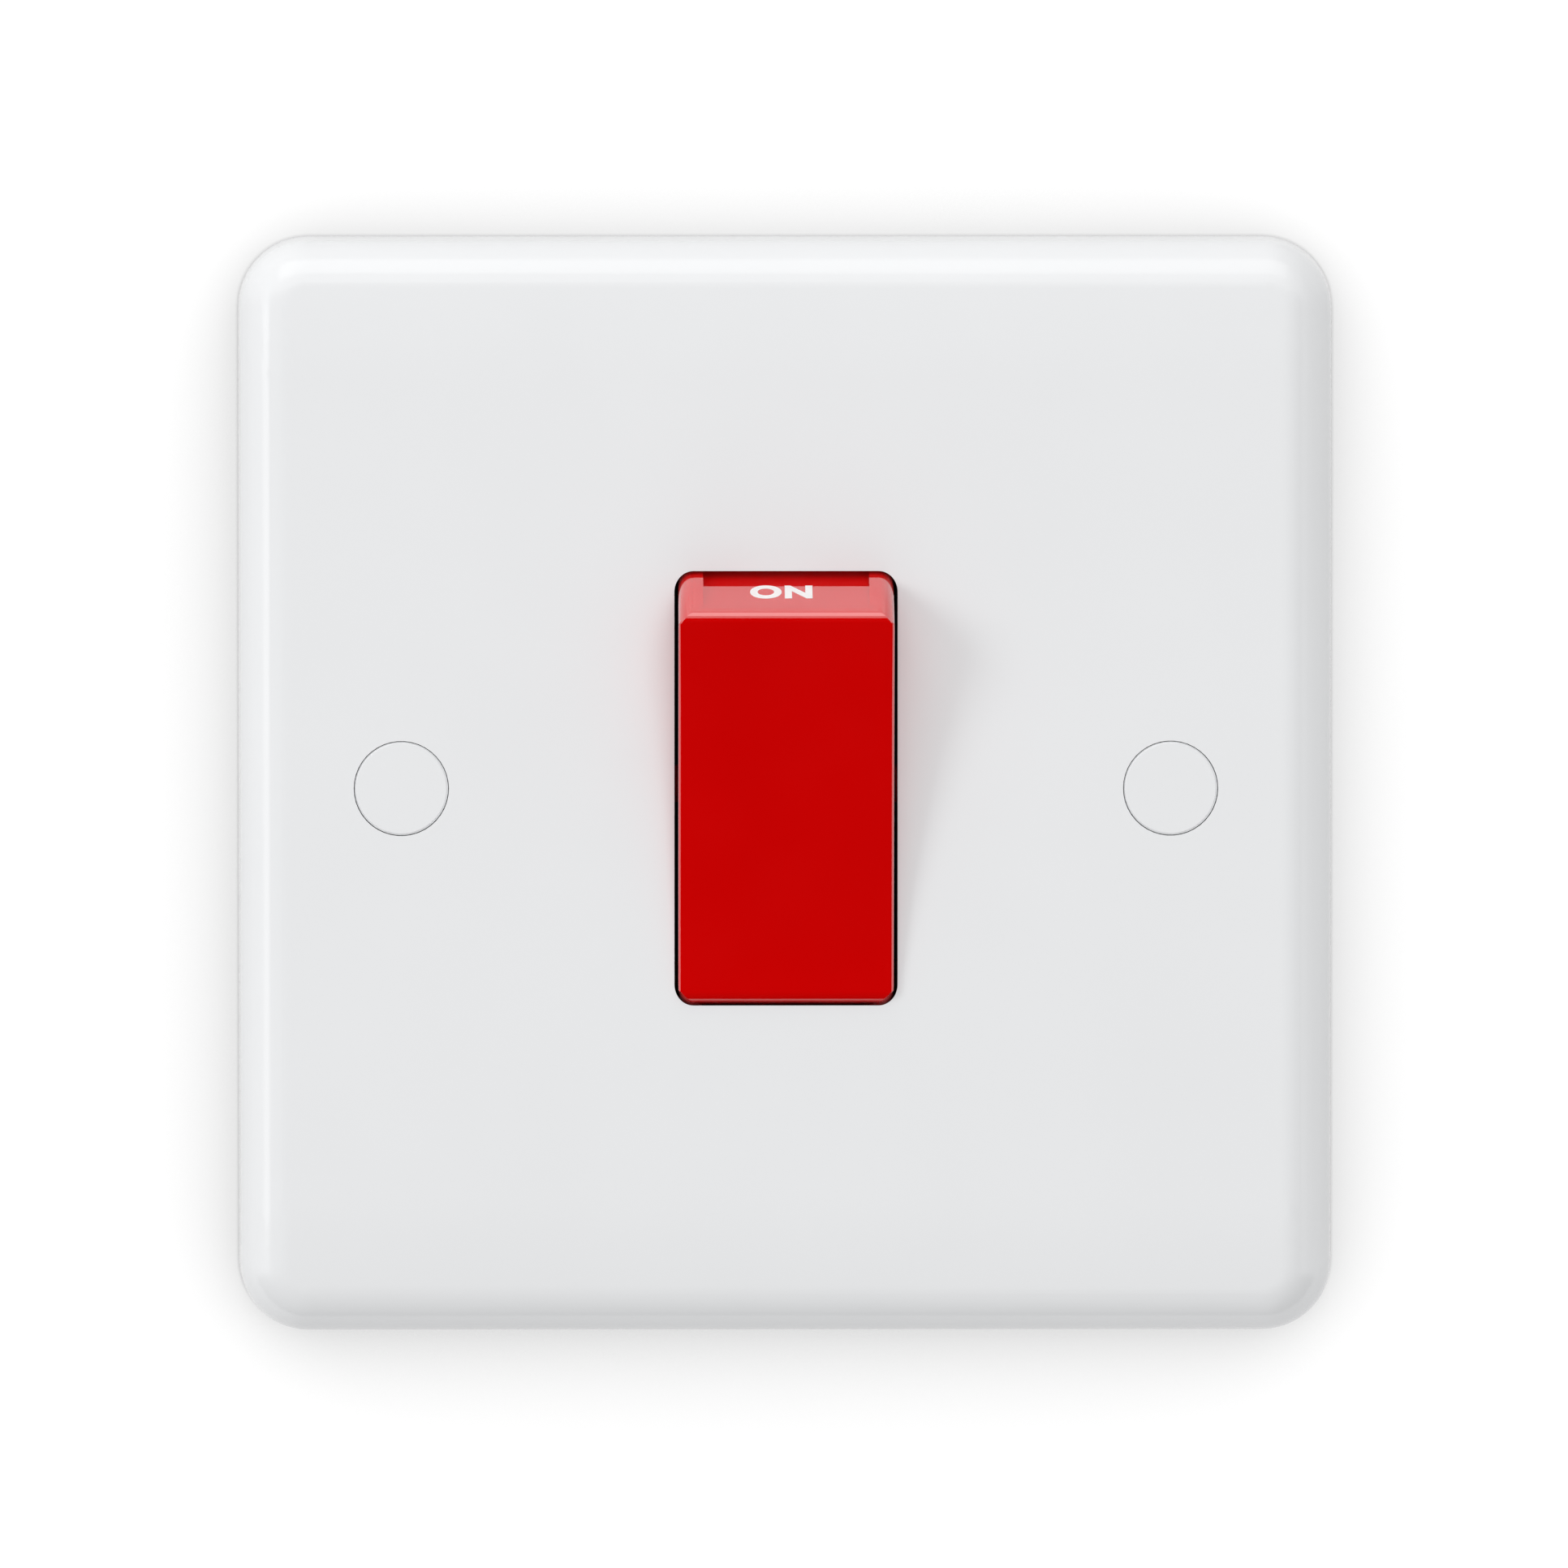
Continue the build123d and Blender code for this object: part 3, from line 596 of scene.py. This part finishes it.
def screwTree(name, head, slots):
    sizes = ("Head Radius", "Head Height", "Shank Radius", "Shank Length", "Thread Pitch", "Thread Depth",
             "Slot Width", "Slot Length", "Slot Depth", "Tip Radius")
    tree, given = newTree(name, {
        **{size: "Float" for size in sizes}, "Seed": "Int", "Material": "Material"})

    def headOutline(along, turn):
        radius = outlineCurve(tree, along, [(share, r) for share, r, h in head])
        height = outlineCurve(tree, along, [(share, h) for share, r, h in head])
        return (maths(tree, "MULTIPLY", radius, given["Head Radius"]),
                maths(tree, "MULTIPLY", height, given["Head Height"]))

    def shankOutline(along, turn):
        length = given["Shank Length"]
        turns = maths(tree, "DIVIDE", maths(tree, "MULTIPLY", along, length), given["Thread Pitch"])
        wave = maths(tree, "PINGPONG", maths(tree, "ADD", turns, turn), 0.5)     # up and down in one turn
        share = maths(tree, "SUBTRACT", 1, maths(tree, "MULTIPLY", wave, 2))
        groove = maths(tree, "MULTIPLY", share, given["Thread Depth"])
        radius = maths(tree, "SUBTRACT", given["Shank Radius"], groove)
        left = maths(tree, "MULTIPLY", maths(tree, "SUBTRACT", 1, along), length)
        radius = maths(tree, "MINIMUM", radius, maths(tree, "ADD", given["Tip Radius"], left))
        return radius, maths(tree, "SUBTRACT", left, length)

    headMesh = turned(tree, screwMesh["headRows"], screwMesh["headAround"], headOutline, True)
    slotted = cutSlots(tree, given, headMesh, slots)
    shankMesh = turned(tree, screwMesh["shankRows"], screwMesh["shankAround"], shankOutline, False)
    both = addNode(tree, "GeometryNodeJoinGeometry")
    tree.links.new(shankMesh, both.inputs[0])
    tree.links.new(slotted, both.inputs[0])
    stand = addNode(tree, "GeometryNodeInstanceOnPoints", {
        "Points": given["Geometry"], "Instance": both.outputs[0], "Rotation": (-math.pi / 2, 0, 0)})
    least, most = 2, 3     # the random node's sockets for numbers, by their place
    chance = addNode(tree, "FunctionNodeRandomValue", {
        least: 0.0, most: math.pi, "Seed": given["Seed"]}, data_type="FLOAT")
    spin = addNode(tree, "ShaderNodeCombineXYZ", {"Z": chance.outputs[1]})
    turnedScrews = addNode(tree, "GeometryNodeRotateInstances", {
        "Instances": stand.outputs[0], "Rotation": spin.outputs[0]})
    endTree(tree, turnedScrews.outputs[0], given["Material"])
    return tree


def cutSlots(tree, given, headMesh, slots):
    cut = addNode(tree, "GeometryNodeMeshBoolean", {"Mesh 1": headMesh},
                  operation="DIFFERENCE", solver="EXACT")
    height = maths(tree, "MULTIPLY", given["Slot Depth"], 2)     # half of each blade stands above the head
    size = addNode(tree, "ShaderNodeCombineXYZ", {
        "X": given["Slot Width"], "Y": given["Slot Length"], "Z": height})
    lift = addNode(tree, "ShaderNodeCombineXYZ", {"Z": given["Head Height"]})
    for quarter in range(slots):
        blade = addNode(tree, "GeometryNodeMeshCube", {"Size": size.outputs[0]})
        moved = addNode(tree, "GeometryNodeTransform", {
            "Geometry": blade.outputs["Mesh"], "Translation": lift.outputs[0],
            "Rotation": (0, 0, quarter * math.pi / 2)})
        tree.links.new(moved.outputs[0], cut.inputs["Mesh 2"])
    return cut.outputs["Mesh"]


def takeIsland(todo):
    island = {todo.pop()}
    edge = list(island)
    while edge:
        vert = edge.pop()
        for line in vert.link_edges:
            other = line.other_vert(vert)
            if other in todo:
                todo.remove(other)
                island.add(other)
                edge.append(other)
    return island


def screwSeats(node, headHeight):
    # one seat for each loose solid of the node, in the middle of its own box, under its head
    form = formOf(frame["nodes"][node].data, weld)
    todo = set(form.verts)
    seats = []
    while todo:
        low, high = spanOf(takeIsland(todo))
        seats.append(((low[0] + high[0]) / 2, high[1] - headHeight, (low[2] + high[2]) / 2))
    form.free()
    return sorted(seats)


# A head's outline, from its underside to its top: share of the sheet, radius and height

cheeseHead = [(0, 0, 0), (0.2, 1, 0), (0.6, 1, 0.82), (0.7, 0.93, 1), (1, 0, 1)]
panHead = [(0, 0, 0), (0.2, 1, 0), (0.35, 1, 0.3), (0.5, 0.93, 0.62), (0.65, 0.75, 0.86), (0.8, 0.5, 0.96),
           (1, 0, 1)]
clampScrew = {
    "Head Radius": 2.8 * mm, "Head Height": 2.2 * mm, "Shank Radius": 2.0 * mm, "Shank Length": 6.2 * mm,
    "Thread Pitch": 0.7 * mm, "Thread Depth": 0.35 * mm, "Slot Width": 0.9 * mm, "Slot Length": 7.0 * mm,
    "Slot Depth": 1.1 * mm, "Tip Radius": 1.3 * mm, "Seed": 4, "Material": zincSteel,
}
tapper = {
    "Head Radius": 2.7 * mm, "Head Height": 2.0 * mm, "Shank Radius": 1.2 * mm, "Shank Length": 8.4 * mm,
    "Thread Pitch": 1.0 * mm, "Thread Depth": 0.3 * mm, "Slot Width": 0.75 * mm, "Slot Length": 3.0 * mm,
    "Slot Depth": 1.15 * mm, "Tip Radius": 0.25 * mm, "Seed": 9, "Material": zincSteel,
}

clampNodes = [f"{side}_{kind}_screws" for side in ("left", "right") for kind in ("load", "supply")]
clampSeats = [seat for node in clampNodes for seat in screwSeats(node, clampScrew["Head Height"])]
clampTree = screwTree("clampScrew", cheeseHead, slots=1)
place(runTree("clampScrews", clampSeats, clampTree, clampScrew), "base", "zinc_steel", *clampNodes)
tapperSeats = screwSeats("housing_screws", tapper["Head Height"])
tapperTree = screwTree("housingScrew", panHead, slots=2)
place(runTree("housingScrews", tapperSeats, tapperTree, tapper), "base", "zinc_steel", "housing_screws")
print("screws made:", len(clampSeats), "clamp,", len(tapperSeats), "housing")


# Plunger springs: a round wire wound to the frame's spring, carried by the rocker's body

spring = {
    "Wire Radius": 0.25 * mm, "Turns": 3.0, "Turn Points": 40, "Wire Points": 14, "Material": springSteel,
}


def springTree(name):
    tree, given = newTree(name, {
        "Coil Radius": "Float", "Wire Radius": "Float", "Length": "Float", "Turns": "Float",
        "Tilt": "Float", "Turn Points": "Int", "Wire Points": "Int", "Material": "Material"})
    coil = addNode(tree, "GeometryNodeCurveSpiral", {
        "Resolution": given["Turn Points"], "Rotations": given["Turns"], "Height": given["Length"],
        "Start Radius": given["Coil Radius"], "End Radius": given["Coil Radius"]})
    wire = addNode(tree, "GeometryNodeCurvePrimitiveCircle", {
        "Resolution": given["Wire Points"], "Radius": given["Wire Radius"]})
    wound = addNode(tree, "GeometryNodeCurveToMesh", {
        "Curve": coil.outputs[0], "Profile Curve": wire.outputs[0], "Fill Caps": True})
    lean = addNode(tree, "ShaderNodeCombineXYZ", {"X": given["Tilt"]})
    stand = addNode(tree, "GeometryNodeInstanceOnPoints", {
        "Points": given["Geometry"], "Instance": wound.outputs[0], "Rotation": lean.outputs[0]})
    endTree(tree, stand.outputs[0], given["Material"])
    return tree


def windSpring(side, tree, look):
    slide = next(joint for joint in frame["joints"] if joint["name"] == f"{side}_plunger_slide")
    axis = -Vector(slide["axis"]).normalized()
    low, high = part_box(f"{side}_spring")
    runs = [vert.co.dot(axis) for vert in frame["nodes"][f"{side}_spring"].data.vertices]
    middle = (low + high) / 2
    start = middle + axis * (min(runs) - middle.dot(axis))
    length = max(runs) - min(runs)
    piece = runTree(f"{side}PlungerSpring", [start + axis * look["Wire Radius"]], tree, {
        **look, "Coil Radius": (high.x - low.x) / 2 - look["Wire Radius"],
        "Length": length - 2 * look["Wire Radius"], "Tilt": -math.atan2(axis.y, axis.z)})
    place(piece, "rocker", "spring_steel", f"{side}_spring")
    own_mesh(piece)


springNodes = springTree("plungerSpring")
for side in ("left", "right"):
    windSpring(side, springNodes, spring)
print("springs wound")


# The set. White ground comes from what the camera sees or a gloss mirrors, and not from lamps

def seenRays(tree):
    path = tree.nodes.new("ShaderNodeLightPath").outputs
    mirrored = maths(tree, "MAXIMUM", path["Is Glossy Ray"], path["Is Transmission Ray"])
    return maths(tree, "MAXIMUM", path["Is Camera Ray"], mirrored)


def bearingTo(azimuth, elevation):
    across = math.radians(azimuth)
    up = math.radians(elevation)
    return Vector((math.sin(across) * math.cos(up), -math.cos(across) * math.cos(up), math.sin(up)))


# The wall that the plate is fixed to, seen from the room only: it glows white for the camera, and the
# plate's soft shadow round it is painted into that glow from ambient occlusion

wallLook = {
    "reach": 450 * mm, "lap": 0.03 * mm, "corner": 5.5 * mm, "steps": 16, "gap": 0.02 * mm,     # the sheet
    "albedo": 0.62, "level": 1.11, "lean": 0.16,                         # its paint, and its glow where no painted shadow darkens it
    "shadow": 0.68, "shadowReach": 60 * mm, "shadowSamples": 2,          # the painted soft shadow, from ambient occlusion
    "contact": 0.36, "contactReach": 0.25 * mm, "contactSamples": 1,     # the painted dark line where the plate meets it
}


def wallSheet(look):
    form = bmesh.new()
    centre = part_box("front_plate")[1].x - look["corner"]
    bend = look["corner"] - look["lap"]
    inner, outer = [], []
    for quarter in range(4):
        diagonal = math.radians(45 + 90 * quarter)
        side = (math.copysign(1, math.cos(diagonal)), math.copysign(1, math.sin(diagonal)))
        for i in range(look["steps"] + 1):
            angle = math.radians(90 * (quarter + i / look["steps"]))
            way = (math.cos(angle), math.sin(angle))
            x, z = [centre * side[j] + bend * way[j] for j in (0, 1)]
            inner.append(form.verts.new((x, look["gap"], z)))
            far = look["reach"] / max(abs(x), abs(z))
            outer.append(form.verts.new((x * far, look["gap"], z * far)))
    for i in range(len(inner)):
        after = (i + 1) % len(inner)
        form.faces.new((inner[i], inner[after], outer[after], outer[i]))
    for face in form.faces:
        face.normal_update()
        if face.normal.y > 0:     # away from the room
            face.normal_flip()
    return form


def wallPaintAndPaintedShadow(look):
    material = bpy.data.materials.new("wallPaintAndPaintedShadow")
    material.use_nodes = True
    tree = material.node_tree
    tree.nodes.clear()
    paint = addNode(tree, "ShaderNodeBsdfDiffuse", {"Color": grey(look["albedo"])})
    lean = addNode(tree, "ShaderNodeCombineXYZ", {"Y": -1.0, "Z": look["lean"]})    # tilts the painted shadow to fall darker below, as if more light came from above
    # painted shade: ambient occlusion round the plate darkens the wall's glow, in place of a cast soft
    # shadow
    paintedSoftShadow = addNode(tree, "ShaderNodeAmbientOcclusion", {
        "Distance": look["shadowReach"], "Normal": lean.outputs[0]}, samples=look["shadowSamples"])
    level = addNode(tree, "ShaderNodeMapRange", {
        "Value": paintedSoftShadow.outputs["AO"], "To Min": look["level"] - look["shadow"], "To Max": look["level"]})
    # painted shade: a short ambient occlusion darkens the glow in a thin line where the plate meets the wall
    paintedContactLine = addNode(tree, "ShaderNodeAmbientOcclusion", {
        "Distance": look["contactReach"]}, samples=look["contactSamples"])
    line = addNode(tree, "ShaderNodeMapRange", {
        "Value": paintedContactLine.outputs["AO"], "To Min": -look["contact"], "To Max": 0.0})
    strength = maths(tree, "ADD", level.outputs["Result"], line.outputs["Result"])
    glow = addNode(tree, "ShaderNodeEmission", {"Strength": strength})
    seen = addNode(tree, "ShaderNodeMixShader", {
        0: seenRays(tree), 1: paint.outputs[0], 2: glow.outputs[0]})
    clear = addNode(tree, "ShaderNodeBsdfTransparent")
    back = addNode(tree, "ShaderNodeNewGeometry").outputs["Backfacing"]
    side = addNode(tree, "ShaderNodeMixShader", {0: back, 1: seen.outputs[0], 2: clear.outputs[0]})
    tree.links.new(side.outputs[0], tree.nodes.new("ShaderNodeOutputMaterial").inputs["Surface"])
    return material


wallMesh = settle(wallSheet(wallLook), bpy.data.meshes.new("wall"), wallPaintAndPaintedShadow(wallLook))
addPiece("wall", wallMesh)

# Daylight round the set: white where it is seen or mirrored, softer as light

worldLook = {"fill": 0.46, "seen": 1.0}


def lightWorld(look):
    world = bpy.data.worlds.new("studio")
    scene.world = world
    world.use_nodes = True
    tree = world.node_tree
    level = addNode(tree, "ShaderNodeMapRange", {
        "Value": seenRays(tree), "To Min": look["fill"], "To Max": look["seen"]})
    back = tree.nodes["Background"]
    back.inputs["Color"].default_value = grey(1)
    tree.links.new(level.outputs["Result"], back.inputs["Strength"])


lightWorld(worldLook)

# A dark screen in front and below, which only the glossy faces see: panels by their bearings, in degrees

screenLook = {"distance": 1.5, "steps": 24, "colour": 0.004, "panels": {
    "front": {"left": -50, "right": 50, "bottom": -72, "top": 22},
    "skirt": {"left": -110, "right": 110, "bottom": -88, "top": -20},
}}


def screenSheet(look):
    form = bmesh.new()
    steps = look["steps"]
    for panel in look["panels"].values():
        wide = panel["right"] - panel["left"]
        high = panel["top"] - panel["bottom"]
        azimuths = [panel["left"] + wide * j / steps for j in range(steps + 1)]
        rows = []
        for i in range(steps + 1):
            elevation = panel["bottom"] + high * i / steps
            rows.append([form.verts.new(bearingTo(a, elevation) * look["distance"]) for a in azimuths])
        for lower, upper in zip(rows, rows[1:]):
            for j in range(steps):
                form.faces.new((lower[j], lower[j + 1], upper[j + 1], upper[j]))
    return form


def screenFelt(look):
    material = bpy.data.materials.new("blackFelt")
    material.use_nodes = True
    surface = material.node_tree.nodes["Principled BSDF"]
    surface.inputs["Base Color"].default_value = grey(look["colour"])
    surface.inputs["Roughness"].default_value = 1.0
    surface.inputs["Specular IOR Level"].default_value = 0.0
    return material


screenMesh = settle(screenSheet(screenLook), bpy.data.meshes.new("darkScreen"), screenFelt(screenLook))
screen = addPiece("darkScreen", screenMesh)
screen.visible_camera = False
screen.visible_diffuse = False
screen.visible_shadow = False

# Soft boxes, each by its bearing from the plate: azimuth to the right, elevation, size and radiance

softBoxes = {
    "leftStrip": {"azimuth": -58, "elevation": 0, "distance": 2.0, "size": (0.5, 0.6), "radiance": 1.3},
    "keyBox": {"azimuth": -60, "elevation": 15, "distance": 2.0, "size": (0.5, 0.9), "radiance": 8.1},
    "topBox": {"azimuth": -6, "elevation": 62, "distance": 2.0, "size": (2.4, 1.3), "radiance": 1.3},
    "frontBox": {"azimuth": 14, "elevation": 14, "distance": 2.0, "size": (1.6, 1.6), "radiance": 1.32},
    "lowBoard": {"azimuth": 0, "elevation": -60, "distance": 2.0, "size": (1.2, 1.2), "radiance": 0.92},
    "rearBox": {"azimuth": 150, "elevation": 40, "distance": 1.2, "size": (0.7, 0.7), "radiance": 3.0},
    "rearFill": {"azimuth": -140, "elevation": 10, "distance": 1.2, "size": (0.8, 0.8), "radiance": 1.4},
}
noGlint = ("keyBox", "frontBox", "lowBoard")    # these light the plate, but no gloss mirrors them
for name, box in softBoxes.items():
    lamp = bpy.data.lights.new(name, "AREA")
    lamp.shape = "RECTANGLE"
    lamp.size, lamp.size_y = box["size"]
    lamp.energy = box["radiance"] * math.pi * lamp.size * lamp.size_y
    bearing = bearingTo(box["azimuth"], box["elevation"])
    lampObject = bpy.data.objects.new(name, lamp)
    lampObject.location = bearing * box["distance"]
    lampObject.rotation_euler = bearing.to_track_quat("Z", "Y").to_euler()
    lampObject.visible_camera = False
    lampObject.visible_glossy = name not in noGlint
    scene.collection.objects.link(lampObject)
print("set lit")

# Camera: a long lens, a little above and to the left of the plate's middle

view = {
    "left": 0.6, "elevation": 3.2, "distance": 2.0, "aim": (-0.064 * mm, 0, -0.16 * mm),
    "frame": 123.45 * mm, "sensor": 36,     # the width seen at the plate, and the sensor's
}
cameraData = bpy.data.cameras.new("camera")
cameraData.sensor_width = view["sensor"]
cameraData.lens = view["sensor"] * view["distance"] / view["frame"]
camera = bpy.data.objects.new("camera", cameraData)
scene.collection.objects.link(camera)
bearing = bearingTo(-view["left"], view["elevation"])
camera.location = Vector(view["aim"]) + bearing * view["distance"]
camera.rotation_euler = bearing.to_track_quat("Z", "Y").to_euler()
scene.camera = camera
scene.view_settings.view_transform = "Standard"
